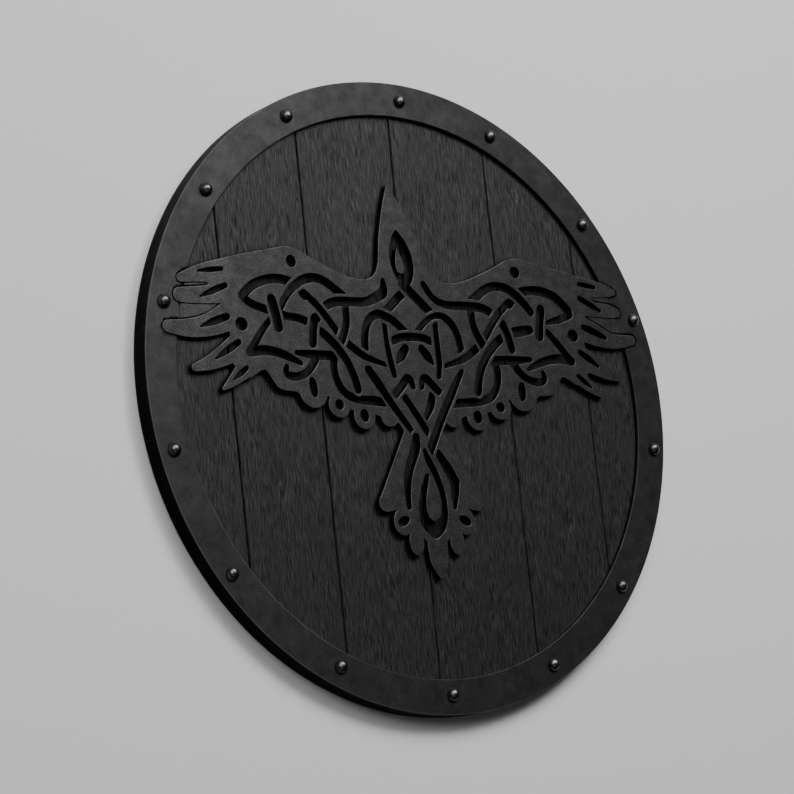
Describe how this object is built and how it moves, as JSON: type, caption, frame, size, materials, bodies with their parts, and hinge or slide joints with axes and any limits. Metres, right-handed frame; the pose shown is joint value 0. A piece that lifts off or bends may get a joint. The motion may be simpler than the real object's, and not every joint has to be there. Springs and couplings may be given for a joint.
{
  "type": "round shield",
  "caption": "Round plank shield with a riveted flat rim and a pierced knotwork raven, wings spread, standing proud on its face.",
  "frame": {"origin": "middle of the flat back, on the floor that the shield lies on", "axes": "+Z out of the decorated face, +Y from the tail to the raven's beak, +X to the wing on the right of a person who faces the shield"},
  "size_m": [0.61, 0.61, 0.0257],
  "materials": {
    "planks": "open-grained boards stained black, dull, with grain and hairline seams",
    "rim": "smooth black paint with a soft sheen, lightly rubbed at the edge",
    "raven": "smooth board painted black, satin, edges slightly rubbed",
    "rivets": "domed dark iron heads with a soft shine"
  },
  "bodies": {
    "root": {"plank_1": "planks", "plank_2": "planks", "plank_3": "planks", "plank_4": "planks", "plank_5": "planks", "plank_6": "planks", "rim": "rim", "rivet_01": "rivets", "rivet_02": "rivets", "rivet_03": "rivets", "rivet_04": "rivets", "rivet_05": "rivets", "rivet_06": "rivets", "rivet_07": "rivets", "rivet_08": "rivets", "rivet_09": "rivets", "rivet_10": "rivets", "rivet_11": "rivets", "rivet_12": "rivets", "rivet_13": "rivets", "rivet_14": "rivets", "raven": "raven", "raven_eye": "raven"}
  },
  "joints": []
}
